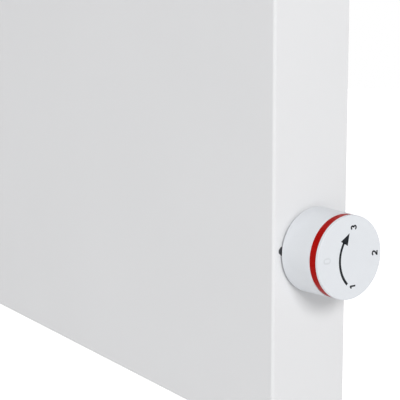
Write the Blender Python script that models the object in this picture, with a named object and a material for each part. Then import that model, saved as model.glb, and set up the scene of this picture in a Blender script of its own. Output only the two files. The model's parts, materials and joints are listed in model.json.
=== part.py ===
"""Low wall-hung convector heater with a thermostat dial on its right-hand end.

Units are metres, +Z is up. The origin is the middle of the wall rail's back face, which lies on the
wall. +X runs along the heater towards the dial, +Y points into the wall and -Y into the room.
"""

import math

import bmesh
import bpy
from mathutils import Vector
from mathutils.geometry import interpolate_bezier

# Casing
LENGTH = 0.800
HEIGHT = 0.300
DEPTH = 0.054
WALL_GAP = 0.022
SHEET = 0.0012
BEND = 0.0022
REAR_BEND = 0.0018
RAIL_BELOW_TOP = 0.075
FLANGE = 0.010
LIP = 0.016
GAP = 0.0003
OVERRUN = 0.004

# Dial: lengths are measured outwards from the end face
DIAL_BEHIND_FRONT = 0.0292
DIAL_ABOVE_BOTTOM = 0.1100
DIAL_BASE_RADIUS = 0.0240
DIAL_FACE_RADIUS = 0.0234
DIAL_LIFT = 0.0005
DIAL_LENGTH = 0.0301
RING_START = 0.0233
RING_END = 0.0283
DIAL_WALL = 0.0022
HUB_RADIUS = 0.0065
SPINDLE_RADIUS = 0.0030
DIAL_SIDES = 40

# Air slots
OUTLET_ROWS = (0.017, 0.037)
OUTLET_SLOT = (0.036, 0.008)
INLET_SLOT = (0.040, 0.014)
SLOT_COUNT = 14
SLOT_PITCH = 0.052

# Heating element and the sheet parts around it
ELEMENT_START = -0.320
ELEMENT_END = 0.262
ELEMENT_ABOVE_BOTTOM = 0.085
FIN_COUNT = 12
FIN_REACH = (0.016, 0.030)
FIN_THICKNESS = 0.0014
ROD_RADIUS = 0.004
BRACKET_CLEARANCE = 0.010
ROD_TAIL = 0.016
PIN_LENGTH = 0.012
SHIELD_BEHIND_FRONT = 0.010
THIN_SHEET = 0.0008

# Stiffening beads pressed into the rear panel
BEAD_HEIGHTS = (-0.050, -0.096)
BEAD_LENGTH = 0.640
BEAD_HALF_WIDTH = 0.005
BEAD_RISE = 0.0012

# Wall rail
RAIL_LENGTH = 0.460
RAIL_HEIGHT = 0.060
RAIL_SHEET = 0.0015
HOOK_X = 0.160
HOOK_WIDTH = 0.020
HOOK_TIP = 0.008

# Places that follow from the sizes above
END = LENGTH / 2
REAR = -WALL_GAP
FRONT = REAR - DEPTH
TOP = RAIL_BELOW_TOP
BOTTOM = TOP - HEIGHT
PANEL_BACK = REAR - SHEET - GAP
PANEL_FRONT = PANEL_BACK - 0.001
DIAL_AXIS = Vector((END, FRONT + DIAL_BEHIND_FRONT, BOTTOM + DIAL_ABOVE_BOTTOM))
SHIELD_Y = FRONT + SHIELD_BEHIND_FRONT
ELEMENT_Y = (PANEL_FRONT + SHIELD_Y) / 2
ELEMENT_Z = BOTTOM + ELEMENT_ABOVE_BOTTOM

# Turns that carry a turned piece's own +Z to a direction of the heater
TO_PLUS_X = (0.0, math.pi / 2, 0.0)
TO_MINUS_X = (0.0, -math.pi / 2, 0.0)
TO_PLUS_Y = (-math.pi / 2, 0.0, 0.0)
TO_MINUS_Y = (math.pi / 2, 0.0, 0.0)


def clear_scene():
    for thing in list(bpy.data.objects):
        bpy.data.objects.remove(thing, do_unlink=True)


def finish(name, colour, roughness, metallic=0.0):
    made = bpy.data.materials.new(name)
    made.use_nodes = True
    shader = made.node_tree.nodes["Principled BSDF"]
    shader.inputs["Base Color"].default_value = (*colour, 1.0)
    shader.inputs["Roughness"].default_value = roughness
    shader.inputs["Metallic"].default_value = metallic
    made.diffuse_color = (*colour, 1.0)
    return made


# Outlines are lists of (a, b) points


def circle(radius, sides, centre=(0.0, 0.0)):
    turns = [2 * math.pi * i / sides for i in range(sides)]
    return [(centre[0] + radius * math.cos(t), centre[1] + radius * math.sin(t)) for t in turns]


def slot(length, width, centre, steps=4):
    """A slot with round ends, its length along a."""
    radius = width / 2
    points = []
    for side in (1, -1):
        for i in range(steps + 1):
            turn = math.pi * (i / steps - 0.5)
            a = side * (length / 2 - radius + radius * math.cos(turn))
            points.append((centre[0] + a, centre[1] + side * radius * math.sin(turn)))
    return points


def rectangle(low, high):
    return [low, (high[0], low[1]), high, (low[0], high[1])]


def folded(path, thickness, inside=0.0008, steps=3):
    """The section of a sheet folded along path, its middle line, with this inside bend radius."""
    path = [Vector(point) for point in path]
    middle = inside + thickness / 2
    left, right = [], []

    def both_sides(point, normal):
        left.append(point + normal * thickness / 2)
        right.append(point - normal * thickness / 2)

    def ahead(i):
        return (path[i + 1] - path[i]).normalized()

    both_sides(path[0], ahead(0).orthogonal())
    for i in range(1, len(path) - 1):
        before, after = ahead(i - 1), ahead(i)
        turn = math.atan2(before.cross(after), before.dot(after))
        side = math.copysign(1, turn)
        start = path[i] - before * middle * math.tan(abs(turn) / 2)
        centre = start + before.orthogonal() * side * middle
        for step in range(steps + 1):
            angle = turn * step / steps
            normal = rotated(before.orthogonal(), angle)
            both_sides(centre - normal * side * middle, normal)
    both_sides(path[-1], ahead(len(path) - 2).orthogonal())
    return [tuple(point) for point in left + right[::-1]]


def rotated(vector, angle):
    cos, sin = math.cos(angle), math.sin(angle)
    return Vector((cos * vector.x - sin * vector.y, sin * vector.x + cos * vector.y))


# Shapes are bmeshes; each of these adds one closed solid

ORDER = {"X": (2, 0, 1), "Y": (0, 2, 1), "Z": (0, 1, 2)}


def prism(shape, outline, start, end, axis):
    """The outline swept from start to end. Its (a, b) are y, z along X; x, z along Y; x, y along Z."""
    order = ORDER[axis]
    ends = []
    for reach in (start, end):
        ends.append([shape.verts.new([(a, b, reach)[i] for i in order]) for a, b in outline])
    shape.faces.new(ends[0])
    shape.faces.new(reversed(ends[1]))
    for i in range(len(outline)):
        shape.faces.new((ends[0][i - 1], ends[0][i], ends[1][i], ends[1][i - 1]))
    return shape


def box(shape, low, high):
    return prism(shape, rectangle(low[:2], high[:2]), low[2], high[2], "Z")


def rounded_tray(shape, low, high, front_bend, rear_bend, steps):
    """A box whose front and rear rims, four edges each, are rounded."""
    box(shape, low, high)
    for y, radius in ((low[1], front_bend), (high[1], rear_bend)):
        rim = [edge for edge in shape.edges if all(abs(vert.co.y - y) < 1e-6 for vert in edge.verts)]
        bmesh.ops.bevel(shape, geom=rim, offset=radius, segments=steps, profile=0.5, affect="EDGES")
    return shape


def turned(shape, profile, sides, hollow=False):
    """A profile of (radius, height) points turned about Z. A hollow one closes on itself."""
    rings = []
    for radius, height in profile:
        if radius == 0:
            rings.append([shape.verts.new((0, 0, height))] * sides)
        else:
            rings.append([shape.verts.new((x, y, height)) for x, y in circle(radius, sides)])
    pairs = list(zip(rings, rings[1:]))
    if hollow:
        pairs.append((rings[-1], rings[0]))
    for lower, upper in pairs:
        for i in range(sides):
            corners = (lower[i - 1], lower[i], upper[i], upper[i - 1])
            shape.faces.new(list(dict.fromkeys(corners)))
    return shape


def add(name, shape, look, parent=None, at=(0, 0, 0), turn=(0, 0, 0)):
    """The object made from a shape, placed at a world position, or under a parent that stays put."""
    bmesh.ops.recalc_face_normals(shape, faces=shape.faces)
    mesh = bpy.data.meshes.new(name)
    shape.to_mesh(mesh)
    shape.free()
    mesh.materials.append(look)
    made = bpy.data.objects.new(name, mesh)
    bpy.context.scene.collection.objects.link(made)
    made.rotation_euler = turn
    made.parent = parent
    made.location = Vector(at) - (parent.location if parent else Vector())
    return made


def smooth(thing, angle=35):
    thing.data.shade_smooth()
    thing.data.set_sharp_from_angle(angle=math.radians(angle))
    return thing


def tool(target, name, shape, operation="DIFFERENCE"):
    """Cut a shape from the target, or join it on. The shape is in the target's own coordinates."""
    bmesh.ops.recalc_face_normals(shape, faces=shape.faces)
    mesh = bpy.data.meshes.new(name)
    shape.to_mesh(mesh)
    shape.free()
    helper = bpy.data.objects.new(name, mesh)
    bpy.context.scene.collection.objects.link(helper)
    helper.parent = target
    helper.hide_render = True
    helper.display_type = "WIRE"
    change = target.modifiers.new(name, "BOOLEAN")
    change.operation = operation
    change.object = helper
    change.solver = "EXACT"


def pivot(name, at, parent=None):
    made = bpy.data.objects.new(name, None)
    bpy.context.scene.collection.objects.link(made)
    made.empty_display_size = 0.02
    made.parent = parent
    made.location = Vector(at) - (parent.location if parent else Vector())
    return made


def slot_places():
    first = -SLOT_PITCH * (SLOT_COUNT - 1) / 2
    return [first + SLOT_PITCH * i for i in range(SLOT_COUNT)]


# Casing

SCREW_INSET = 0.0055
SCREW_FROM_EDGE = 0.030
SCREW_HOLE = 0.0018
SIDE_SCREWS = [
    (x, z)
    for x in (-END + SCREW_INSET, END - SCREW_INSET)
    for z in (BOTTOM + SCREW_FROM_EDGE, TOP - SCREW_FROM_EDGE)
]
CASING_SCREWS = SIDE_SCREWS + [(x, TOP - SCREW_INSET) for x in (-0.200, 0.200)]


def screw_holes(shape, start, end):
    for place in CASING_SCREWS:
        prism(shape, circle(SCREW_HOLE, 12, place), start, end, "Y")
    return shape


def make_front_casing(heater, paint):
    """One folded sheet: front, both ends, the top with its outlet slots, a lip below and rear flanges."""
    outer = rounded_tray(bmesh.new(), (-END, FRONT, BOTTOM), (END, REAR, TOP), BEND, REAR_BEND, 4)
    casing = add("front_casing", outer, paint, heater)
    inside_low = (-END + SHEET, FRONT + SHEET, BOTTOM + SHEET)
    inside_high = (END - SHEET, REAR - SHEET, TOP - SHEET)
    inside = rounded_tray(bmesh.new(), inside_low, inside_high, BEND - SHEET, REAR_BEND - SHEET, 2)
    tool(casing, "casing_inside", inside)
    window_low = (-END + FLANGE, REAR - OVERRUN, BOTTOM - OVERRUN)
    tool(casing, "rear_window", box(bmesh.new(), window_low, (END - FLANGE, REAR + OVERRUN, TOP - FLANGE)))
    under_low = (-END + SHEET, FRONT + LIP, BOTTOM - OVERRUN)
    under_high = (END - SHEET, REAR + OVERRUN, BOTTOM + OVERRUN)
    tool(casing, "underside_opening", box(bmesh.new(), under_low, under_high))
    outlets = bmesh.new()
    for x in slot_places():
        for row in OUTLET_ROWS:
            prism(outlets, slot(*OUTLET_SLOT, (x, FRONT + row)), TOP - OVERRUN, TOP + OVERRUN, "Z")
    tool(casing, "outlet_slots", outlets)
    tool(casing, "rear_flange_holes", screw_holes(bmesh.new(), REAR - OVERRUN, REAR + OVERRUN))
    neck = circle(NECK_HOLE, 24, DIAL_AXIS.yz)
    tool(casing, "dial_hole", prism(bmesh.new(), neck, END - OVERRUN, END + OVERRUN, "X"))


def bead_outline(base, foot, middle, steps=4):
    """The arc of a pressed bead that rises from y = base, closed by a straight foot at y = foot."""
    radius = (BEAD_HALF_WIDTH**2 + BEAD_RISE**2) / (2 * BEAD_RISE)
    half_turn = math.asin(BEAD_HALF_WIDTH / radius)
    points = [(foot, middle - BEAD_HALF_WIDTH)]
    for i in range(steps + 1):
        turn = half_turn * (2 * i / steps - 1)
        rise = BEAD_RISE - radius * (1 - math.cos(turn))
        points.append((base + rise, middle + radius * math.sin(turn)))
    return points + [(foot, middle + BEAD_HALF_WIDTH)]


def make_rear_panel(heater, steel):
    """Back sheet, folded forwards below into the air inlet, with slots for the rail's hooks."""
    middle = (PANEL_BACK + PANEL_FRONT) / 2
    half = (PANEL_BACK - PANEL_FRONT) / 2
    path = [(middle, TOP - SHEET - GAP), (middle, BOTTOM + half), (FRONT + LIP + GAP, BOTTOM + half)]
    reach = END - SHEET - GAP
    panel = add("rear_panel", prism(bmesh.new(), folded(path, 2 * half), -reach, reach, "X"), steel, heater)
    inlets = bmesh.new()
    for x in slot_places():
        place = (x, (FRONT + LIP + PANEL_FRONT) / 2)
        prism(inlets, slot(*INLET_SLOT, place), BOTTOM - OVERRUN, BOTTOM + OVERRUN, "Z")
    tool(panel, "inlet_slots", inlets)
    beads, grooves = bmesh.new(), bmesh.new()
    for z in BEAD_HEIGHTS:
        prism(beads, bead_outline(PANEL_BACK, PANEL_BACK - GAP, z), -BEAD_LENGTH / 2, BEAD_LENGTH / 2, "X")
        groove = bead_outline(PANEL_FRONT, PANEL_FRONT - OVERRUN, z)
        prism(grooves, groove, -BEAD_LENGTH / 2 + 2 * half, BEAD_LENGTH / 2 - 2 * half, "X")
    tool(panel, "panel_beads", beads, "UNION")
    tool(panel, "panel_grooves", grooves)
    through = (PANEL_FRONT - OVERRUN, PANEL_BACK + OVERRUN)
    holes = screw_holes(bmesh.new(), *through)
    hang_z = RAIL_HEIGHT / 2 + GAP
    for side in (-1, 1):
        low = (side * HOOK_X - HOOK_WIDTH / 2 - 0.002, hang_z - HOOK_TIP - RAIL_SHEET - 0.002)
        prism(holes, rectangle(low, (side * HOOK_X + HOOK_WIDTH / 2 + 0.002, hang_z)), *through, "Y")
        prism(holes, circle(SPACER_PLUG + GAP, 12, (side * SPACER_X, SPACER_Z)), *through, "Y")
    prism(holes, circle(GROMMET_NECK + GAP, 16, GROMMET_PLACE), *through, "Y")
    tool(panel, "panel_holes", holes)


def make_screw(name, place, steel, heater, direction, face, shank=0.0075):
    """A pan-head screw whose head lies on the sheet at face and points in direction along Y."""
    profile = [(0, -shank), (0.0010, -shank), (0.0015, -shank + 0.001), (0.0015, 0.0)]
    profile += [(0.0034, 0.0), (0.0034, 0.0008), (0.0022, 0.0018), (0, 0.0018)]
    turn = TO_PLUS_Y if direction > 0 else TO_MINUS_Y
    at = (place[0], face + direction * GAP, place[1])
    smooth(add(name, turned(bmesh.new(), profile, 12), steel, heater, at, turn))


# Thermostat: places are measured from the dial axis at the end face, outwards being +X

NECK_RADIUS = 0.0049
NECK_HOLE = NECK_RADIUS + GAP
NECK_END = 0.0052
NUT_RADIUS = 0.0080
NUT_END = 0.0033
FRAME_SHEET = 0.0015
FRAME_HALF_WIDTH = 0.010
FRAME_HALF_HEIGHT = 0.030
FRAME_DEPTH = 0.026
FRAME_X = -SHEET - GAP - FRAME_SHEET / 2
BUSH_SEAT = FRAME_X - FRAME_SHEET / 2 - GAP
BUSH_FLANGE = 0.0030
ARM_X = -0.0156
ARM_THICKNESS = 0.0006
SPINDLE_TAIL = -0.0108
BIMETAL_X = -0.0199
BIMETAL_THICKNESS = 0.0008
TAB_WIDTH = (-0.0158, -0.0068)
TAB_HEIGHT = (0.0195, 0.0258)
CONTACT_RADIUS = 0.0020
PIVOT_ABOVE = 0.0220
CLAMP_LOW, CLAMP_HIGH = 0.0175, 0.0289
STRIP_TOP = 0.0270
CONTACT_BELOW = -0.0180


def make_thermostat_fixed(heater, steel, brass, ceramic):
    def add_here(name, shape, look, turn=(0, 0, 0)):
        return add(name, shape, look, heater, DIAL_AXIS, turn)

    path = [(FRAME_X, -FRAME_HALF_HEIGHT), (FRAME_X, FRAME_HALF_HEIGHT), (-FRAME_DEPTH, FRAME_HALF_HEIGHT)]
    sheet = prism(bmesh.new(), folded(path, FRAME_SHEET), -FRAME_HALF_WIDTH, FRAME_HALF_WIDTH, "Y")
    plate = add_here("thermostat_frame", sheet, steel)
    tool(plate, "frame_hole", prism(bmesh.new(), circle(NECK_HOLE, 24), -0.010, 0.010, "X"))

    bore = SPINDLE_RADIUS + 0.0001
    tail = BUSH_SEAT - BUSH_FLANGE
    profile = [(bore, tail), (NUT_RADIUS, tail), (NUT_RADIUS, BUSH_SEAT), (NECK_RADIUS, BUSH_SEAT)]
    profile += [(NECK_RADIUS, NECK_END), (bore, NECK_END)]
    smooth(add_here("thermostat_bush", turned(bmesh.new(), profile, 24, True), brass, TO_PLUS_X))

    nut = add_here("thermostat_nut", prism(bmesh.new(), circle(NUT_RADIUS, 6), GAP, NUT_END, "X"), steel)
    tool(nut, "nut_bore", prism(bmesh.new(), circle(NECK_HOLE, 24), GAP - 0.002, NUT_END + 0.002, "X"))

    front, back = -0.0120, -0.0245
    outline = [(front, CLAMP_LOW), (front, CLAMP_HIGH), (back, CLAMP_HIGH), (back, CLAMP_LOW)]
    for middle, thickness in ((BIMETAL_X, BIMETAL_THICKNESS), (ARM_X, ARM_THICKNESS)):
        half = thickness / 2 + GAP
        outline += [(middle - half, CLAMP_LOW), (middle - half, STRIP_TOP + GAP)]
        outline += [(middle + half, STRIP_TOP + GAP), (middle + half, CLAMP_LOW)]
    add_here("thermostat_insulator", prism(bmesh.new(), outline, -0.0065, 0.0065, "Y"), ceramic)

    half = BIMETAL_THICKNESS / 2
    strip = box(bmesh.new(), (BIMETAL_X - half, -0.004, -0.024), (BIMETAL_X + half, 0.004, STRIP_TOP))
    bimetal = add_here("bimetal_strip", strip, brass)
    button = circle(CONTACT_RADIUS, 12, (0, CONTACT_BELOW))
    contact = prism(bmesh.new(), button, BIMETAL_X, BIMETAL_X + 0.0012, "X")
    tool(bimetal, "bimetal_contact", contact, "UNION")

    for name, x in (("thermostat_tab_in", BIMETAL_X), ("thermostat_tab_out", ARM_X)):
        low, high = (x - half, TAB_WIDTH[0], TAB_HEIGHT[0]), (x + half, TAB_WIDTH[1], TAB_HEIGHT[1])
        add_here(name, box(bmesh.new(), low, high), brass)


def make_thermostat_moving(heater, brass, ceramic):
    """The sliding pin and the contact arm that it tips."""
    tail = SPINDLE_TAIL - GAP
    reach = tail - (ARM_X + ARM_THICKNESS / 2 + GAP)
    pin = [(0, -reach), (0.0018, -reach), (0.0022, -reach + 0.0004), (0.0022, 0), (0, 0)]
    at = DIAL_AXIS + Vector((tail, 0, 0))
    smooth(add("pusher_pin", turned(bmesh.new(), pin, 16), ceramic, heater, at, TO_PLUS_X))

    hinge = pivot("contact_arm_axis", DIAL_AXIS + Vector((ARM_X, 0, PIVOT_ABOVE)), heater)
    low = (-ARM_THICKNESS / 2, -0.0035, -0.022 - PIVOT_ABOVE)
    blade = box(bmesh.new(), low, (ARM_THICKNESS / 2, 0.0035, STRIP_TOP - PIVOT_ABOVE))
    arm = add("contact_arm", blade, brass)
    arm.parent = hinge
    button = circle(CONTACT_RADIUS, 12, (0, CONTACT_BELOW - PIVOT_ABOVE))
    tool(arm, "arm_contact", prism(bmesh.new(), button, -0.0015, 0.0, "X"), "UNION")


# Dial and its spindle


def dial_radius(height):
    """The dial's outside radius: a straight draft from its base to its face."""
    share = (height - DIAL_LIFT) / (DIAL_LENGTH - DIAL_LIFT)
    return DIAL_BASE_RADIUS + (DIAL_FACE_RADIUS - DIAL_BASE_RADIUS) * share


def make_dial(heater, white, red, steel):
    axis = pivot("dial_axis", DIAL_AXIS, heater)

    def add_here(name, shape, look, rounded=True):
        made = add(name, shape, look, turn=TO_PLUS_X)
        made.parent = axis
        return smooth(made) if rounded else made

    seat = DIAL_FACE_RADIUS - 0.0034
    shoulder = RING_START - 0.0002
    top = RING_END - GAP
    bore = SPINDLE_RADIUS + GAP
    chamfer = 0.0004
    inner = DIAL_BASE_RADIUS - DIAL_WALL
    body = [(bore, 0.0065), (HUB_RADIUS, 0.0065), (HUB_RADIUS, 0.0180), (inner - 0.001, 0.0180)]
    body += [(inner, 0.0165), (inner, DIAL_LIFT), (DIAL_BASE_RADIUS - chamfer, DIAL_LIFT)]
    body += [(DIAL_BASE_RADIUS, DIAL_LIFT + chamfer), (dial_radius(shoulder), shoulder)]
    body += [(seat, shoulder), (seat, top), (bore, top)]
    add_here("dial_body", turned(bmesh.new(), body, DIAL_SIDES, True), white)

    ring_top = RING_END - 0.0002
    ring = [(seat + GAP, RING_START), (dial_radius(RING_START), RING_START)]
    ring += [(dial_radius(ring_top), ring_top), (seat + GAP, ring_top)]
    add_here("dial_ring", turned(bmesh.new(), ring, DIAL_SIDES, True), red)

    edge = 0.0003
    cap = [(0, RING_END), (dial_radius(RING_END), RING_END), (DIAL_FACE_RADIUS, DIAL_LENGTH - edge)]
    cap += [(DIAL_FACE_RADIUS - edge, DIAL_LENGTH), (0, DIAL_LENGTH)]
    add_here("dial_cap", turned(bmesh.new(), cap, DIAL_SIDES), white)

    inner_end = BUSH_SEAT - BUSH_FLANGE - GAP
    stem = [(0, SPINDLE_TAIL), (0.0045, SPINDLE_TAIL), (0.0045, inner_end), (SPINDLE_RADIUS, inner_end)]
    stem += [(SPINDLE_RADIUS, 0.0195), (SPINDLE_RADIUS - 0.0005, 0.0200), (0, 0.0200)]
    spindle = add_here("dial_spindle", turned(bmesh.new(), stem, 24), steel)
    flat_low = (0.0018, -0.004, 0.0085)
    tool(spindle, "spindle_flat", box(bmesh.new(), flat_low, (0.005, 0.004, 0.021)))


# Heating element


def fin_outline():
    """A hub with fins that end on a rectangle of half sizes FIN_REACH."""
    hub = 0.0068
    half = FIN_THICKNESS / 2
    points = []
    for i in range(FIN_COUNT):
        angle = 2 * math.pi * (i + 0.5) / FIN_COUNT
        along = Vector((math.cos(angle), math.sin(angle)))
        across = Vector((-along.y, along.x)) * half
        reach = min(FIN_REACH[0] / abs(along.x), FIN_REACH[1] / abs(along.y))
        points += [along * hub - across, along * reach - across]
        points += [along * reach + across, along * hub + across]
    return [(ELEMENT_Y + point.x, ELEMENT_Z + point.y) for point in points]


def make_element(heater, aluminium, steel, ceramic):
    fins = prism(bmesh.new(), fin_outline(), ELEMENT_START, ELEMENT_END, "X")
    element = add("heating_element", fins, aluminium, heater)
    centre = (ELEMENT_Y, ELEMENT_Z)
    hole = circle(ROD_RADIUS + GAP, 16, centre)
    through = (ELEMENT_START - OVERRUN, ELEMENT_END + OVERRUN)
    tool(element, "element_bore", prism(bmesh.new(), hole, *through, "X"))
    webs = {"left": ELEMENT_START - BRACKET_CLEARANCE, "right": ELEMENT_END + BRACKET_CLEARANCE}
    tails = {"left": webs["left"] - ROD_TAIL, "right": webs["right"] + ROD_TAIL}
    rod = prism(bmesh.new(), circle(ROD_RADIUS, 16, centre), tails["left"], tails["right"], "X")
    smooth(add("element_rod", rod, steel, heater))
    foot_y = PANEL_FRONT - GAP - SHEET / 2
    for side, web in webs.items():
        out = -1 if side == "left" else 1
        path = [(web + out * 0.015, foot_y), (web, foot_y), (web, SHIELD_Y + 0.002)]
        sheet = prism(bmesh.new(), folded(path, SHEET), ELEMENT_Z - 0.036, ELEMENT_Z + 0.036, "Z")
        bracket = add("element_bracket_" + side, sheet, steel, heater)
        hole = prism(bmesh.new(), circle(0.0070, 16, centre), web - 0.005, web + 0.005, "X")
        tool(bracket, "bracket_hole_" + side, hole)
        turn = TO_MINUS_X if side == "left" else TO_PLUS_X
        face = SHEET / 2 + GAP
        bore = ROD_RADIUS + GAP
        profile = [(bore, -0.004), (0.0067, -0.004), (0.0067, face), (0.0095, face)]
        profile += [(0.0095, face + 0.004), (0.0080, face + 0.006), (bore, face + 0.006)]
        at = (web, ELEMENT_Y, ELEMENT_Z)
        bush = turned(bmesh.new(), profile, 16, True)
        smooth(add("ceramic_bush_" + side, bush, ceramic, heater, at, turn))
        at = (tails[side] + out * GAP, ELEMENT_Y, ELEMENT_Z)
        pin = [(0, 0), (0.002, 0), (0.002, PIN_LENGTH - 0.0005), (0.0015, PIN_LENGTH), (0, PIN_LENGTH)]
        smooth(add("element_pin_" + side, turned(bmesh.new(), pin, 12), steel, heater, at, turn))


def make_heat_shield(heater, steel):
    low, high = BOTTOM + 0.020, TOP - 0.035
    path = [(SHIELD_Y + 0.006, low), (SHIELD_Y, low), (SHIELD_Y, high), (SHIELD_Y + 0.006, high)]
    add("heat_shield", prism(bmesh.new(), folded(path, THIN_SHEET), -0.365, 0.300, "X"), steel, heater)


# Electrical fittings on the rear panel

BLOCK_PLACE = (0.330, BOTTOM + 0.030)
BLOCK_SIZE = (0.040, 0.016, 0.018)
BLOCK_PITCH = 0.012
CUTOUT_PLACE = (0.100, -0.075)
CUTOUT_HEIGHT = 0.0102
BLADE_SPREAD = 0.0045
BLADE_LENGTH = 0.0080
EARTH_PLACE = (0.295, BOTTOM + 0.060)
GROMMET_PLACE = (0.370, BOTTOM + 0.030)
GROMMET_NECK = 0.0060
MOUNT_Y = PANEL_FRONT - GAP
BLOCK_Y = MOUNT_Y - BLOCK_SIZE[1] / 2


def make_terminal_block(heater, nylon, brass):
    x, z = BLOCK_PLACE
    low = (x - BLOCK_SIZE[0] / 2, MOUNT_Y - BLOCK_SIZE[1], z - BLOCK_SIZE[2] / 2)
    high = (x + BLOCK_SIZE[0] / 2, MOUNT_Y, z + BLOCK_SIZE[2] / 2)
    block = add("terminal_block", box(bmesh.new(), low, high), nylon, heater)
    pockets = bmesh.new()
    for i in (-1, 0, 1):
        entry = (x + i * BLOCK_PITCH, BLOCK_Y)
        prism(pockets, circle(0.0019, 10, entry), high[2] - 0.0055, high[2] + 0.002, "Z")
        prism(pockets, circle(0.0019, 10, entry), low[2] - 0.002, low[2] + 0.0055, "Z")
        prism(pockets, circle(0.0030, 12, (entry[0], z)), low[1] - 0.002, low[1] + 0.0035, "Y")
    tool(block, "block_pockets", pockets)
    head = [(0, -0.0008), (0.0024, -0.0008), (0.0024, 0.0012), (0.0019, 0.0017), (0, 0.0017)]
    for name, i in (("earth", -1), ("neutral", 0), ("live", 1)):
        at = (x + i * BLOCK_PITCH, low[1] + 0.0035 - GAP - 0.0008, z)
        smooth(add("terminal_screw_" + name, turned(bmesh.new(), head, 12), brass, heater, at, TO_MINUS_Y))


def make_cutout(heater, phenolic, brass):
    at = (CUTOUT_PLACE[0], MOUNT_Y, CUTOUT_PLACE[1])
    profile = [(0, 0), (0.0115, 0), (0.0115, 0.0012), (0.0080, 0.0012)]
    profile += [(0.0080, CUTOUT_HEIGHT - 0.0007), (0.0072, CUTOUT_HEIGHT), (0, CUTOUT_HEIGHT)]
    smooth(add("overheat_cutout", turned(bmesh.new(), profile, 20), phenolic, heater, at, TO_MINUS_Y))
    tip = MOUNT_Y - CUTOUT_HEIGHT - GAP
    for side, name in ((-1, "left"), (1, "right")):
        middle = CUTOUT_PLACE[0] + side * BLADE_SPREAD
        low = (middle - 0.0004, tip - BLADE_LENGTH, CUTOUT_PLACE[1] - 0.0031)
        blade = box(bmesh.new(), low, (middle + 0.0004, tip, CUTOUT_PLACE[1] + 0.0031))
        add("cutout_blade_" + name, blade, brass, heater)


def make_grommet(heater, rubber):
    """Cable inlet: a rubber ring seated in the rear panel's hole."""
    lip, bore, half = 0.0085, 0.0038, 0.0035
    waist = (PANEL_BACK - PANEL_FRONT) / 2 + GAP
    profile = [(bore, -half), (lip - 0.001, -half), (lip, -half + 0.0007), (lip, -waist)]
    profile += [(GROMMET_NECK, -waist), (GROMMET_NECK, waist)]
    profile += [(lip, waist), (lip, half - 0.0007), (lip - 0.001, half), (bore, half)]
    at = (GROMMET_PLACE[0], (PANEL_BACK + PANEL_FRONT) / 2, GROMMET_PLACE[1])
    smooth(add("cable_grommet", turned(bmesh.new(), profile, 16, True), rubber, heater, at, TO_PLUS_Y))


def smooth_route(points, each=3):
    """Points read from a smooth curve through the route's own points, whose bends stay near them."""
    points = [Vector(point) for point in points]
    padded = [2 * points[0] - points[1], *points, 2 * points[-1] - points[-2]]
    route = []
    for before, start, end, after in zip(padded, padded[1:], padded[2:], padded[3:]):
        third = (end - start).length / 3
        near_start = start + (end - before).normalized() * third
        near_end = end - (after - start).normalized() * third
        route += interpolate_bezier(start, near_start, near_end, end, each + 1)[:-1]
    return route + [points[-1]]


def make_wire(name, points, look, heater, radius=0.0012):
    curve = bpy.data.curves.new(name, "CURVE")
    curve.dimensions = "3D"
    curve.bevel_depth = radius
    curve.bevel_resolution = 2
    curve.use_fill_caps = True
    route = smooth_route(points)
    spline = curve.splines.new("POLY")
    spline.points.add(len(route) - 1)
    for point, place in zip(spline.points, route):
        point.co = (*place, 1.0)
    curve.materials.append(look)
    made = bpy.data.objects.new(name, curve)
    bpy.context.scene.collection.objects.link(made)
    made.parent = heater


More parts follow.
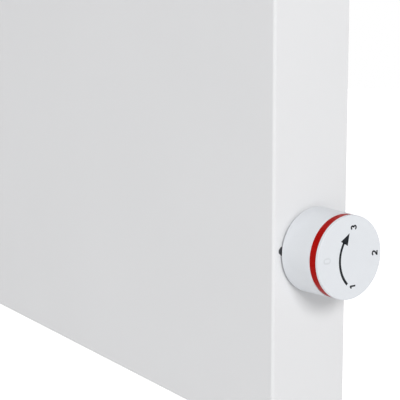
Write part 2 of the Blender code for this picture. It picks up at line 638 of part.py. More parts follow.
def make_wires(heater, brown, black, blue, green):
    entry_z = BLOCK_PLACE[1] + BLOCK_SIZE[2] / 2 - 0.005
    entries = {i: (BLOCK_PLACE[0] + i * BLOCK_PITCH, BLOCK_Y, entry_z) for i in (-1, 0, 1)}
    tab_y = DIAL_AXIS.y + TAB_WIDTH[0] - GAP
    tab_z = DIAL_AXIS.z + sum(TAB_HEIGHT) / 2
    live_x, arm_x = END + BIMETAL_X, END + ARM_X
    live = [entries[1], (0.342, -0.0330, -0.178), (0.350, -0.045, -0.160), (0.362, -0.064, -0.130)]
    live += [(0.375, -0.0700, -0.108), (live_x, -0.0702, -0.0965), (live_x, tab_y - 0.003, tab_z)]
    live += [(live_x, tab_y, tab_z)]
    make_wire("wire_live", live, brown, heater)

    blade_y = MOUNT_Y - CUTOUT_HEIGHT - GAP - BLADE_LENGTH - GAP
    blades = {}
    for side in (-1, 1):
        blades[side] = Vector((CUTOUT_PLACE[0] + side * BLADE_SPREAD, blade_y, CUTOUT_PLACE[1]))
    switched = [(arm_x, tab_y, tab_z), (arm_x, tab_y - 0.003, tab_z), (arm_x, -0.0702, -0.0865)]
    switched += [(0.374, -0.0690, -0.070)]
    switched += [(0.350, -0.0600, -0.056), (0.310, -0.047, -0.046), (0.240, -0.0400, -0.044)]
    switched += [(0.160, -0.0420, -0.050), (0.120, -0.0500, -0.064)]
    switched += [blades[1] - Vector((0, 0.003, 0)), blades[1]]
    make_wire("wire_switched", switched, black, heater)

    pin_reach = BRACKET_CLEARANCE + ROD_TAIL + GAP + PIN_LENGTH + GAP
    heater_end = ELEMENT_START - pin_reach
    feed = [blades[-1], blades[-1] - Vector((0, 0.003, 0)), (0.080, -0.0490, -0.064)]
    feed += [(0.030, -0.0380, -0.055)]
    feed += [(-0.100, -0.0350, -0.052), (-0.260, -0.0350, -0.055), (-0.345, -0.0370, -0.080)]
    feed += [(-0.3745, -0.0410, -0.115), (-0.3700, ELEMENT_Y, -0.1385)]
    feed += [(heater_end - 0.003, ELEMENT_Y, ELEMENT_Z), (heater_end, ELEMENT_Y, ELEMENT_Z)]
    make_wire("wire_feed", feed, black, heater)

    return_end = ELEMENT_END + pin_reach
    back = [(return_end, ELEMENT_Y, ELEMENT_Z), (return_end + 0.003, ELEMENT_Y, ELEMENT_Z)]
    back += [(0.316, -0.0440, -0.1425), (0.3265, -0.0400, -0.154)]
    back += [(0.330, -0.0340, -0.173), entries[0]]
    make_wire("wire_return", back, blue, heater)

    earth = [entries[-1], (0.318, -0.0330, -0.180), (0.3125, -0.0315, -0.169)]
    earth += [(0.305, -0.0285, -0.1652), (EARTH_PLACE[0] + 0.0034 + 2 * GAP, -0.0275, EARTH_PLACE[1])]
    make_wire("wire_earth", earth, green, heater)


# Wall fittings

SPACER_X = 0.250
SPACER_Z = BOTTOM + 0.026
SPACER_PLUG = 0.0030


def make_wall_rail(heater, steel):
    """A folded channel screwed to the wall, with two hooks that reach through the rear panel."""
    reach = PANEL_BACK + GAP
    half = RAIL_SHEET / 2
    edge = RAIL_HEIGHT / 2 - half
    path = [(reach, edge), (-half, edge), (-half, -edge), (reach, -edge)]
    channel = prism(bmesh.new(), folded(path, RAIL_SHEET), -RAIL_LENGTH / 2, RAIL_LENGTH / 2, "X")
    rail = add("wall_rail", channel, steel, heater)
    hooks, slots = bmesh.new(), bmesh.new()
    tip_y = PANEL_FRONT - 0.002
    top, low = RAIL_HEIGHT / 2, RAIL_HEIGHT / 2 - RAIL_SHEET
    outline = [(reach + 0.004, low), (reach + 0.004, top), (tip_y, top), (tip_y, top + HOOK_TIP)]
    outline += [(tip_y - RAIL_SHEET, top + HOOK_TIP), (tip_y - RAIL_SHEET, low)]
    for side in (-1, 1):
        middle = side * HOOK_X
        prism(hooks, outline, middle - HOOK_WIDTH / 2, middle + HOOK_WIDTH / 2, "X")
        for x in (side * 0.200, side * 0.075):
            prism(slots, slot(0.014, 0.006, (x, 0.0)), -OVERRUN, OVERRUN, "Y")
    tool(rail, "rail_hooks", hooks, "UNION")
    tool(rail, "rail_slots", slots)


def make_spacers(heater, rubber):
    """Two feet that hold the heater's lower edge off the wall."""
    for side, name in ((-1, "left"), (1, "right")):
        at = (side * SPACER_X, 0.0, SPACER_Z)
        base = -PANEL_BACK - GAP
        barb = -PANEL_FRONT + GAP
        profile = [(0, 0), (0.0090, 0), (0.0100, 0.001), (0.0120, base - 0.002), (0.0120, base)]
        profile += [(SPACER_PLUG, base), (SPACER_PLUG, barb + 0.002)]
        profile += [(SPACER_PLUG - 0.001, barb + 0.004), (0, barb + 0.004)]
        foot = turned(bmesh.new(), profile, 20)
        smooth(add("wall_spacer_" + name, foot, rubber, heater, at, TO_MINUS_Y))


def build():
    clear_scene()
    paint = finish("white_enamel", (0.80, 0.80, 0.81), 0.35)
    galvanised = finish("galvanised_steel", (0.62, 0.64, 0.66), 0.42, 1.0)
    bright = finish("plated_steel", (0.70, 0.70, 0.70), 0.28, 1.0)
    aluminium = finish("aluminium", (0.76, 0.77, 0.78), 0.35, 1.0)
    brass = finish("brass", (0.72, 0.55, 0.25), 0.30, 1.0)
    ceramic = finish("ceramic", (0.84, 0.81, 0.74), 0.55)
    white = finish("white_plastic", (0.80, 0.81, 0.83), 0.38)
    red = finish("red_plastic", (0.45, 0.010, 0.008), 0.40)
    nylon = finish("nylon", (0.75, 0.73, 0.66), 0.50)
    phenolic = finish("phenolic", (0.020, 0.018, 0.016), 0.45)
    rubber = finish("rubber", (0.030, 0.030, 0.032), 0.80)
    brown = finish("brown_insulation", (0.14, 0.045, 0.015), 0.45)
    black = finish("black_insulation", (0.015, 0.015, 0.016), 0.45)
    blue = finish("blue_insulation", (0.02, 0.09, 0.38), 0.45)
    green = finish("green_insulation", (0.08, 0.28, 0.03), 0.45)

    heater = pivot("heater", (0, 0, 0))
    make_front_casing(heater, paint)
    make_rear_panel(heater, galvanised)
    for number, place in enumerate(CASING_SCREWS, 1):
        make_screw("casing_screw_%d" % number, place, bright, heater, 1, REAR)
    make_element(heater, aluminium, galvanised, ceramic)
    make_heat_shield(heater, galvanised)
    make_thermostat_fixed(heater, galvanised, brass, ceramic)
    make_thermostat_moving(heater, brass, ceramic)
    make_dial(heater, white, red, bright)
    make_terminal_block(heater, nylon, brass)
    make_cutout(heater, phenolic, brass)
    make_screw("earth_screw", EARTH_PLACE, bright, heater, -1, PANEL_FRONT, shank=GAP)
    make_grommet(heater, rubber)
    make_wires(heater, brown, black, blue, green)
    make_wall_rail(heater, galvanised)
    make_spacers(heater, rubber)


build()
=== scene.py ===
"""Looks of a low wall-hung convector heater with a thermostat dial on its right-hand end.

Units are metres and +Z is up. The origin is the middle of the wall rail's back face, which lies on the
wall. +X runs along the heater towards the dial, +Y points into the wall and -Y into the room.
"""

import json
import math

import bmesh
import bpy
from mathutils import Matrix, Vector


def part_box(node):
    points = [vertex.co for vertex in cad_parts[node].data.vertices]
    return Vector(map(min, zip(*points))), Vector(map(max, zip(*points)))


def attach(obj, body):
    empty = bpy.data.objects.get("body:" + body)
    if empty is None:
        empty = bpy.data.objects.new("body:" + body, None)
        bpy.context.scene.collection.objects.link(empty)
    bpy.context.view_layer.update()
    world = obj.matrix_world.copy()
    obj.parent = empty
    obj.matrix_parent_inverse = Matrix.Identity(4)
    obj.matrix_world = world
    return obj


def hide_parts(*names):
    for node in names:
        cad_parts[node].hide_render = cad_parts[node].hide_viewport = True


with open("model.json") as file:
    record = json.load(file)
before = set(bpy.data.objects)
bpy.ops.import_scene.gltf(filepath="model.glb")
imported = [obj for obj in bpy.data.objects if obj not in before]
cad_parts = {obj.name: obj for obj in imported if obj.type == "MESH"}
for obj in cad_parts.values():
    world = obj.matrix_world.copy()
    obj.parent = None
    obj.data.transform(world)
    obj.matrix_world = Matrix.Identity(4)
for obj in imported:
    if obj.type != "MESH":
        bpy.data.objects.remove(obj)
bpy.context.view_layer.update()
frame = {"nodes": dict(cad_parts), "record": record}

# Casing sheet
SHEET = 0.0012
BEND = 0.0022
REAR_BEND = 0.0018
FLANGE = 0.010
LIP = 0.016
EDGE = 0.00025
SEAM = 0.0004
OUTLET_ROWS = (0.017, 0.037)
OUTLET_SLOT = (0.036, 0.008)
INLET_SLOT = (0.040, 0.014)
SLOT_COUNT = 14
SLOT_PITCH = 0.052
DIAL_HOLE = 0.0052
SCREW_HOLE = 0.0018
PAST = 0.004

# Rear panel and wall rail
PANEL_SHEET = 0.0010
PANEL_BACK = -0.0235
BEAD_HEIGHTS = (-0.050, -0.096)
BEAD_LENGTH = 0.640
BEAD_HALF_WIDTH = 0.005
BEAD_RISE = 0.0012
BEAD_TIP = 0.02
FITTING_HOLES = {"wall_spacer_left": 0.0033, "wall_spacer_right": 0.0033, "cable_grommet": 0.0063}
RAIL_SHEET = 0.0015
RAIL_HEIGHT = 0.060
HOOK_X = 0.160
HOOK_WIDTH = 0.020
HOOK_SLOT = (0.024, 0.0115)
HOOK_SLOT_LOW = 0.0188
HOOK_SLOT_CORNER = 0.0015
HOOK_ROOT = 0.004
WALL_SLOT = (0.014, 0.006)
WALL_SLOT_PLACES = (0.200, 0.075)
OVERLAP = 0.0003

CASE_LOW, CASE_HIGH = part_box("front_casing")
PANEL_LOW, PANEL_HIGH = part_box("rear_panel")
CASING_SCREWS = [node for node in sorted(frame["nodes"]) if node.startswith("casing_screw_")]

# Dial: heights are measured outwards from the end face
DIAL_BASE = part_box("dial_body")[0].x - CASE_HIGH.x
RING_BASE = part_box("dial_ring")[0].x - CASE_HIGH.x
CAP_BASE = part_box("dial_cap")[0].x - CASE_HIGH.x
DIAL_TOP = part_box("dial_cap")[1].x - CASE_HIGH.x
DIAL_AXIS = (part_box("dial_body")[0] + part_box("dial_body")[1]) / 2
DIAL_AXIS.x = CASE_HIGH.x
BASE_FLARE = 0.0004
BASE_RADIUS = (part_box("dial_body")[1].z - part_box("dial_body")[0].z) / 2 + BASE_FLARE
FACE_RADIUS = 0.0234
RING_SEAT = 0.0200
DIAL_GAP = 0.00004
DIAL_SIDES = 128
FITTING_SIDES = 56

# Marks
PRINT_RISE = 0.00003
PRINT_ROOT = 0.00005
DIGIT_HEIGHT = 0.0040
ZERO_HEIGHT = 0.0046
DIGIT_STROKE = 0.00092
ARROW_STROKE = 0.0015

# Degrees between faces: edges sharper than these are eased, or stay sharp where nothing is eased
EASED_ANGLE = 40
SHARP_ANGLE = 32

# Turns that carry a turned piece's own +Z to a direction of the heater
TO_PLUS_X = Matrix.Rotation(math.pi / 2, 4, "Y")
TO_PLUS_Y = Matrix.Rotation(-math.pi / 2, 4, "X")
TO_MINUS_Y = Matrix.Rotation(math.pi / 2, 4, "X")


# Outlines are lists of (a, b) points


def circle(radius, sides, centre=(0.0, 0.0)):
    turns = [2 * math.pi * i / sides for i in range(sides)]
    return [(centre[0] + radius * math.cos(t), centre[1] + radius * math.sin(t)) for t in turns]


def arc(centre, radius, start, end, steps):
    """Points along an arc between two angles in degrees."""
    turns = [math.radians(start + (end - start) * i / steps) for i in range(steps + 1)]
    return [(centre[0] + radius * math.cos(t), centre[1] + radius * math.sin(t)) for t in turns]


def slot_outline(length, width, centre, steps=8):
    """A slot with round ends, its length along a."""
    radius = width / 2
    reach = length / 2 - radius
    right = arc((centre[0] + reach, centre[1]), radius, -90, 90, steps)
    return right + arc((centre[0] - reach, centre[1]), radius, 90, 270, steps)


def rectangle(low, high):
    return [low, (high[0], low[1]), high, (low[0], high[1])]


def rounded(outline, radius, steps=4):
    """A closed outline with each corner turned into an arc, smaller where its sides are short."""
    points = [Vector(point) for point in outline]
    result = []
    for before, corner, after in zip(points[-1:] + points[:-1], points, points[1:] + points[:1]):
        back, ahead = before - corner, after - corner
        half = back.angle(ahead) / 2
        cut = min(radius / math.tan(half), back.length * 0.45, ahead.length * 0.45)
        start, end = corner + back.normalized() * cut, corner + ahead.normalized() * cut
        centre = corner + (back.normalized() + ahead.normalized()).normalized() * cut / math.cos(half)
        sweep = (start - centre).angle_signed(end - centre)
        for i in range(steps + 1):
            result.append(tuple(centre + turned_by(start - centre, -sweep * i / steps)))
    return result


def folded(path, thickness, inside=0.0008, steps=6):
    """The section of a sheet folded along path, its middle line, with this inside bend radius."""
    path = [Vector(point) for point in path]
    middle = inside + thickness / 2
    left, right = [], []

    def both_sides(point, normal):
        left.append(point + normal * thickness / 2)
        right.append(point - normal * thickness / 2)

    def ahead(i):
        return (path[i + 1] - path[i]).normalized()

    both_sides(path[0], ahead(0).orthogonal())
    for i in range(1, len(path) - 1):
        before, after = ahead(i - 1), ahead(i)
        turn = math.atan2(before.cross(after), before.dot(after))
        side = math.copysign(1, turn)
        start = path[i] - before * middle * math.tan(abs(turn) / 2)
        centre = start + before.orthogonal() * side * middle
        for step in range(steps + 1):
            normal = turned_by(before.orthogonal(), turn * step / steps)
            both_sides(centre - normal * side * middle, normal)
    both_sides(path[-1], ahead(len(path) - 2).orthogonal())
    return [tuple(point) for point in left + right[::-1]]


def turned_by(vector, angle):
    cos, sin = math.cos(angle), math.sin(angle)
    return Vector((cos * vector.x - sin * vector.y, sin * vector.x + cos * vector.y))


# Shapes are bmeshes; each of these adds one closed solid

ORDER = {"X": (2, 0, 1), "Y": (0, 2, 1), "Z": (0, 1, 2)}


def loft(shape, sections, closed=False):
    """A solid through sections with the same number of points. A closed one runs round to its start."""
    rings = [[shape.verts.new(point) for point in section] for section in sections]
    pairs = list(zip(rings, rings[1:]))
    if closed:
        pairs.append((rings[-1], rings[0]))
    else:
        shape.faces.new(rings[0])
        shape.faces.new(reversed(rings[-1]))
    for start, end in pairs:
        for i in range(len(start)):
            shape.faces.new((start[i - 1], start[i], end[i], end[i - 1]))
    return shape


def prism(shape, outline, start, end, axis):
    """The outline swept from start to end. Its (a, b) are y, z along X; x, z along Y; x, y along Z."""
    sections = []
    for reach in (start, end):
        sections.append([[(a, b, reach)[i] for i in ORDER[axis]] for a, b in outline])
    return loft(shape, sections)


def box(shape, low, high):
    return prism(shape, rectangle(low[:2], high[:2]), low[2], high[2], "Z")


def turned(shape, profile, sides):
    """A closed profile of (radius, height) points turned about Z. Points on the axis become one vertex."""
    rings = []
    for radius, height in profile:
        if radius < 1e-6:
            rings.append([shape.verts.new((0, 0, height))] * sides)
        else:
            rings.append([shape.verts.new((x, y, height)) for x, y in circle(radius, sides)])
    for lower, upper in zip(rings, rings[1:] + rings[:1]):
        for i in range(sides):
            corners = list(dict.fromkeys((lower[i - 1], lower[i], upper[i], upper[i - 1])))
            if len(corners) > 2:
                shape.faces.new(corners)
    return shape


def ribbon(shape, path, width, place, low, high, closed=False):
    """A stroke along a path, as thick as low to high. place carries (a, b, height) into space."""
    path = [Vector(point) for point in path]
    sections = []
    for i, point in enumerate(path):
        before = path[i - 1] if i or closed else point
        after = path[(i + 1) % len(path)] if i + 1 < len(path) or closed else point
        along = (after - before).normalized()
        across = Vector((-along.y, along.x)) * width / 2
        left, right = point + across, point - across
        corners = [(left, low), (right, low), (right, high), (left, high)]
        sections.append([place(corner.x, corner.y, height) for corner, height in corners])
    return loft(shape, sections, closed)


def patch(shape, outline, place, low, high):
    """A flat mark with this outline, as thick as low to high."""
    return loft(shape, [[place(a, b, height) for a, b in outline] for height in (low, high)])


def holder(name, shape):
    bmesh.ops.recalc_face_normals(shape, faces=shape.faces)
    mesh = bpy.data.meshes.new(name)
    shape.to_mesh(mesh)
    shape.free()
    made = bpy.data.objects.new(name, mesh)
    bpy.context.scene.collection.objects.link(made)
    return made


def joined(shape, other, operation="DIFFERENCE"):
    """The shape with the other one cut away or added, as a new bmesh."""
    target, helper = holder("target", shape), holder("helper", other)
    change = target.modifiers.new("change", "BOOLEAN")
    change.operation = operation
    change.object = helper
    change.solver = "EXACT"
    result = bmesh.new()
    result.from_object(target, bpy.context.evaluated_depsgraph_get())
    for thing in (target, helper):
        mesh = thing.data
        bpy.data.objects.remove(thing)
        bpy.data.meshes.remove(mesh)
    return result


def piece(name, shape, look, body, nodes=(), place=Matrix.Identity(4), edge=0.0):
    """A finished piece: smooth across small angles, flat faces kept flat, its sharp edges eased by edge."""
    made = holder(name, shape)
    made.data.transform(place)
    made.data.materials.append(look)
    made.data.shade_smooth()
    if edge:
        ease = made.modifiers.new("eased_edges", "BEVEL")
        ease.width = edge
        ease.segments = 2
        ease.limit_method = "ANGLE"
        ease.angle_limit = math.radians(EASED_ANGLE)
        ease.harden_normals = False
    else:
        made.data.set_sharp_from_angle(angle=math.radians(SHARP_ANGLE))
    flat = made.modifiers.new("flat_faces", "WEIGHTED_NORMAL")
    flat.keep_sharp = True
    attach(made, body)
    if nodes:
        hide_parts(*nodes)
    return made


# Materials


class Look:
    """A Principled material whose textures read the object's own coordinates, in metres."""

    def __init__(self, name, colour, roughness, metallic=0.0):
        self.made = bpy.data.materials.new(name)
        self.made.use_nodes = True
        self.tree = self.made.node_tree
        self.shader = self.tree.nodes["Principled BSDF"]
        self.shader.inputs["Base Color"].default_value = (*colour, 1.0)
        self.shader.inputs["Roughness"].default_value = roughness
        self.shader.inputs["Metallic"].default_value = metallic
        self.colour = colour
        self.made.diffuse_color = (*colour, 1.0)
        self.places = self.tree.nodes.new("ShaderNodeTexCoord").outputs["Object"]
        self.height = None

    def node(self, kind, **inputs):
        made = self.tree.nodes.new(kind)
        for name, value in inputs.items():
            made.inputs[name.replace("_", " ")].default_value = value
        return made

    def link(self, start, end):
        self.tree.links.new(start, end)

    def stretched(self, stretch):
        mapping = self.node("ShaderNodeMapping", Scale=stretch)
        self.link(self.places, mapping.inputs["Vector"])
        return mapping.outputs["Vector"]

    def noise(self, per_metre, detail=2.0, stretch=(1, 1, 1)):
        """Cloudy values around 0.5, with about this many features in a metre."""
        made = self.node("ShaderNodeTexNoise", Scale=per_metre, Detail=detail)
        self.link(self.stretched(stretch), made.inputs["Vector"])
        return made.outputs["Fac"]

    def cells(self, per_metre, stretch=(1, 1, 1)):
        """A value for each cell of a crystal pattern."""
        made = self.node("ShaderNodeTexVoronoi", Scale=per_metre)
        self.link(self.stretched(stretch), made.inputs["Vector"])
        split = self.node("ShaderNodeSeparateColor")
        self.link(made.outputs["Color"], split.inputs["Color"])
        return split.outputs["Red"]

    def spread(self, value, low, high, start=0.3, end=0.7):
        made = self.node("ShaderNodeMapRange", From_Min=start, From_Max=end, To_Min=low, To_Max=high)
        self.link(value, made.inputs["Value"])
        return made.outputs["Result"]

    def tint(self, value, other, start=0.3, end=0.7):
        """Blend from the base colour to the other one as the value rises."""
        mix = self.node("ShaderNodeMix")
        mix.data_type = "RGBA"
        before = self.shader.inputs["Base Color"]
        if before.is_linked:
            self.link(before.links[0].from_socket, mix.inputs[6])
        else:
            mix.inputs[6].default_value = before.default_value
        mix.inputs[7].default_value = (*other, 1.0)
        self.link(self.spread(value, 0.0, 1.0, start, end), mix.inputs[0])
        self.link(mix.outputs[2], before)
        return self

    def polish(self, value, low, high):
        self.link(self.spread(value, low, high), self.shader.inputs["Roughness"])
        return self

    def relief(self, value, depth, strength=1.0):
        """Bump whose height is value times depth, on top of any bump before it."""
        bump = self.node("ShaderNodeBump", Strength=strength, Distance=depth)
        self.link(value, bump.inputs["Height"])
        if self.height:
            self.link(self.height, bump.inputs["Normal"])
        self.height = bump.outputs["Normal"]
        self.link(self.height, self.shader.inputs["Normal"])
        return self


def shade(colour, factor):
    return tuple(min(1.0, channel * factor) for channel in colour)


def powder_coat():
    """Satin stoved powder with fine orange peel and hardly any cloudiness."""
    look = Look("powder_coat", (0.820, 0.823, 0.834), 0.58)
    look.shader.inputs["Specular IOR Level"].default_value = 0.25
    look.tint(look.noise(9, 3), shade(look.colour, 0.985))
    look.polish(look.noise(60, 2), 0.54, 0.62)
    look.relief(look.noise(900, 2), 0.000012)
    return look.relief(look.noise(140, 1), 0.00002).made


def galvanised():
    """Zinc with crystal spangle, a rolling direction and dull patches."""
    look = Look("galvanised", (0.60, 0.62, 0.64), 0.42, 1.0)
    spangle = look.cells(140, (1.0, 1.0, 1.3))
    look.tint(spangle, (0.72, 0.74, 0.76), 0.0, 1.0)
    look.tint(look.noise(14, 4), (0.52, 0.54, 0.56), 0.45, 0.75)
    look.polish(spangle, 0.40, 0.50)
    look.relief(look.noise(1400, 2, (0.05, 1.0, 1.0)), 0.00001)
    return look.relief(spangle, 0.00001).made


def plated():
    look = Look("plated", (0.70, 0.71, 0.72), 0.28, 1.0)
    look.tint(look.noise(300, 2), (0.62, 0.62, 0.60))
    look.polish(look.noise(700, 2), 0.22, 0.36)
    return look.relief(look.noise(2500, 1), 0.00001).made


def extruded_aluminium():
    """Mill finish with die lines along the extrusion."""
    look = Look("extruded_aluminium", (0.76, 0.77, 0.78), 0.35, 1.0)
    lines = look.noise(900, 2, (0.01, 1.0, 1.0))
    look.tint(lines, (0.66, 0.67, 0.69))
    look.polish(lines, 0.28, 0.45)
    return look.relief(lines, 0.00002).made


def brass():
    look = Look("brass", (0.72, 0.55, 0.25), 0.30, 1.0)
    look.tint(look.noise(180, 3), (0.60, 0.43, 0.19))
    look.polish(look.noise(400, 2), 0.24, 0.42)
    return look.relief(look.noise(1800, 2, (1.0, 1.0, 0.1)), 0.00001).made


def steatite():
    look = Look("steatite", (0.84, 0.81, 0.74), 0.60)
    look.tint(look.noise(400, 4), (0.76, 0.72, 0.64))
    look.polish(look.noise(900, 2), 0.52, 0.72)
    return look.relief(look.noise(2200, 3), 0.00003).made


def moulded_white():
    """Satin polymer with the fine grain of a spark-eroded mould."""
    look = Look("moulded_white", (0.795, 0.820, 0.855), 0.40)
    look.shader.inputs["Specular IOR Level"].default_value = 0.4
    look.tint(look.noise(120, 2), shade(look.colour, 0.988))
    look.polish(look.noise(500, 2), 0.32, 0.42)
    return look.relief(look.noise(2600, 2), 0.000006).made


def moulded_red():
    look = Look("moulded_red", (0.40, 0.003, 0.001), 0.34)
    look.shader.inputs["Specular IOR Level"].default_value = 0.05
    look.tint(look.noise(200, 2), (0.44, 0.004, 0.002))
    look.polish(look.noise(500, 2), 0.24, 0.36)
    return look.relief(look.noise(2600, 2), 0.000006).made


def print_ink(name, colour):
    """Pad-printed ink, a little uneven where it is thin."""
    look = Look(name, colour, 0.50)
    look.shader.inputs["Specular IOR Level"].default_value = 0.15
    look.tint(look.noise(2500, 3), shade(colour, 1.7), 0.4, 0.8)
    look.polish(look.noise(3000, 1), 0.38, 0.55)
    return look.relief(look.noise(5000, 1), 0.000004).made


# Painted shade: a grey a little darker than the white cap, laid on the floor of the sunk figure 0 to stand
# for the shade inside its groove
def recess_shade_grey():
    look = Look("recess_shade_grey", (0.70, 0.72, 0.75), 0.5)
    look.tint(look.noise(1500, 2), (0.73, 0.75, 0.78))
    return look.relief(look.noise(2600, 2), 0.000006).made


def rubbery(name, colour):
    look = Look(name, colour, 0.75)
    look.tint(look.noise(250, 4), shade(colour, 1.9))
    look.polish(look.noise(600, 2), 0.66, 0.86)
    return look.relief(look.noise(1600, 3), 0.00004).made


def moulded(name, colour, low, high):
    look = Look(name, colour, (low + high) / 2)
    look.tint(look.noise(220, 3), shade(colour, 0.88))
    look.polish(look.noise(700, 2), low, high)
    return look.relief(look.noise(1900, 2), 0.00002).made


def insulation(name, colour, stripe=None):
    """Silicone wire covering, with an optional second colour in broad bands."""
    look = Look(name, colour, 0.45)
    if stripe:
        look.tint(look.cells(90), stripe, 0.49, 0.51)
    look.tint(look.noise(500, 2), shade(colour, 0.85), 0.45, 0.9)
    look.polish(look.noise(900, 1), 0.40, 0.55)
    return look.relief(look.noise(2500, 1), 0.00001).made


# Casing


def tray(low, high, front_bend, rear_bend, steps):
    """A box whose front and rear rims, four edges each, are rounded."""
    shape = box(bmesh.new(), low, high)
    for y, radius in ((low[1], front_bend), (high[1], rear_bend)):
        rim = [edge for edge in shape.edges if all(abs(vert.co.y - y) < 1e-6 for vert in edge.verts)]
        bmesh.ops.bevel(shape, geom=rim, offset=radius, segments=steps, profile=0.5, affect="EDGES")
    return shape


def slot_places():
    first = -SLOT_PITCH * (SLOT_COUNT - 1) / 2
    return [first + SLOT_PITCH * i for i in range(SLOT_COUNT)]


def screw_places():
    return [(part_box(node)[0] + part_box(node)[1]) / 2 for node in CASING_SCREWS]


def casing_openings(shape):
    """Everything punched out of the casing sheet: slots, holes and the thin seams of its corners."""
    clear = 0.0001
    for x in slot_places():
        for row in OUTLET_ROWS:
            outline = slot_outline(*OUTLET_SLOT, (x, CASE_LOW.y + row))
            prism(shape, outline, CASE_HIGH.z - PAST, CASE_HIGH.z + PAST, "Z")
    for place in screw_places():
        prism(shape, circle(SCREW_HOLE, 24, place.xz), CASE_HIGH.y - PAST, CASE_HIGH.y + PAST, "Y")
    hole = circle(DIAL_HOLE, 48, DIAL_AXIS.yz)
    prism(shape, hole, CASE_HIGH.x - PAST, CASE_HIGH.x + PAST, "X")
    for side in (-1, 1):
        corner = Vector((side * CASE_HIGH.x, CASE_HIGH.z))
        along = Vector((-side, -1)).normalized()
        across = Vector((1, -side)).normalized() * SEAM / 2
        start, end = corner + along * SHEET, corner + along * FLANGE * 2
        seam = [start - across, start + across, end + across, end - across]
        prism(shape, seam, CASE_HIGH.y - SHEET - 2 * clear, CASE_HIGH.y + PAST, "Y")
        lip_end = side * (CASE_HIGH.x - SHEET)
        start = (lip_end - SEAM / 2, CASE_LOW.y + BEND)
        seam = rectangle(start, (lip_end + SEAM / 2, CASE_LOW.y + LIP + PAST))
        prism(shape, seam, CASE_LOW.z - PAST, CASE_LOW.z + SHEET + clear, "Z")
    return shape


def make_casing(look):
    """One folded sheet: front, both ends, the top with its outlet slots, a lip below and rear flanges."""
    wall = Vector((SHEET, SHEET, SHEET))
    shape = tray(CASE_LOW, CASE_HIGH, BEND, REAR_BEND, 10)
    window_low = (CASE_LOW.x + FLANGE, CASE_HIGH.y - PAST, CASE_LOW.z - PAST)
    window_high = (CASE_HIGH.x - FLANGE, CASE_HIGH.y + PAST, CASE_HIGH.z - FLANGE)
    shape = joined(shape, box(bmesh.new(), window_low, window_high))
    under_low = (CASE_LOW.x + SHEET, CASE_LOW.y + LIP, CASE_LOW.z - PAST)
    under_high = (CASE_HIGH.x - SHEET, CASE_HIGH.y + PAST, CASE_LOW.z + REAR_BEND)
    shape = joined(shape, box(bmesh.new(), under_low, under_high))
    inside = tray(CASE_LOW + wall, CASE_HIGH - wall, BEND - SHEET, REAR_BEND - SHEET, 4)
    shape = joined(shape, inside)
    shape = joined(shape, casing_openings(bmesh.new()))
    piece("casing_sheet", shape, look, "heater", ["front_casing"], edge=EDGE)


def bead(shape, z, end_steps=8, steps=6):
    """A stiffening bead with tapered ends that stands out of the rear panel's back."""
    foot = PANEL_BACK - OVERLAP
    straight = BEAD_LENGTH / 2 - BEAD_HALF_WIDTH
    places = []
    for t in range(end_steps + 1):
        places.append(-straight - BEAD_HALF_WIDTH * math.cos(math.pi / 2 * t / end_steps))
    places += [-place for place in reversed(places)]
    sections = []
    for x in places:
        past = max(0.0, abs(x) - straight) / BEAD_HALF_WIDTH
        swell = math.sqrt(max(BEAD_TIP, 1 - past * past))
        section = []
        for i in range(steps + 1):
            turn = math.pi * i / steps
            rise = BEAD_RISE * swell * math.sin(turn)
            section.append((x, PANEL_BACK + rise, z - BEAD_HALF_WIDTH * swell * math.cos(turn)))
        section += [(x, foot, section[-1][2]), (x, foot, section[0][2])]
        sections.append(section)
    return loft(shape, sections)


def make_rear_panel(look):
    """Back sheet, folded forwards below into the air inlet, with beads and slots for the rail's hooks."""
    half = PANEL_SHEET / 2
    back, foot, tip = PANEL_BACK - half, PANEL_LOW.z + half, PANEL_LOW.y
    path = [(back, PANEL_HIGH.z), (back, foot), (tip, foot)]
    shape = prism(bmesh.new(), folded(path, PANEL_SHEET), PANEL_LOW.x, PANEL_HIGH.x, "X")
    beads, inlets, holes = bmesh.new(), bmesh.new(), bmesh.new()
    for z in BEAD_HEIGHTS:
        bead(beads, z)
    shape = joined(shape, beads, "UNION")
    for x in slot_places():
        place = (x, (tip + PANEL_BACK - PANEL_SHEET) / 2)
        prism(inlets, slot_outline(*INLET_SLOT, place), PANEL_LOW.z - PAST, PANEL_LOW.z + PAST, "Z")
    through = (PANEL_BACK - PAST, PANEL_BACK + PAST)
    for place in screw_places():
        prism(holes, circle(SCREW_HOLE, 24, place.xz), *through, "Y")
    for side in (-1, 1):
        middle = Vector((side * HOOK_X, HOOK_SLOT_LOW + HOOK_SLOT[1] / 2))
        corner = Vector(HOOK_SLOT) / 2
        prism(holes, rounded(rectangle(middle - corner, middle + corner), HOOK_SLOT_CORNER), *through, "Y")
    for node, radius in FITTING_HOLES.items():
        middle = (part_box(node)[0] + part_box(node)[1]) / 2
        prism(holes, circle(radius, 32, middle.xz), *through, "Y")
    shape = joined(joined(shape, inlets), holes)
    piece("rear_sheet", shape, look, "heater", ["rear_panel"], edge=EDGE / 2)


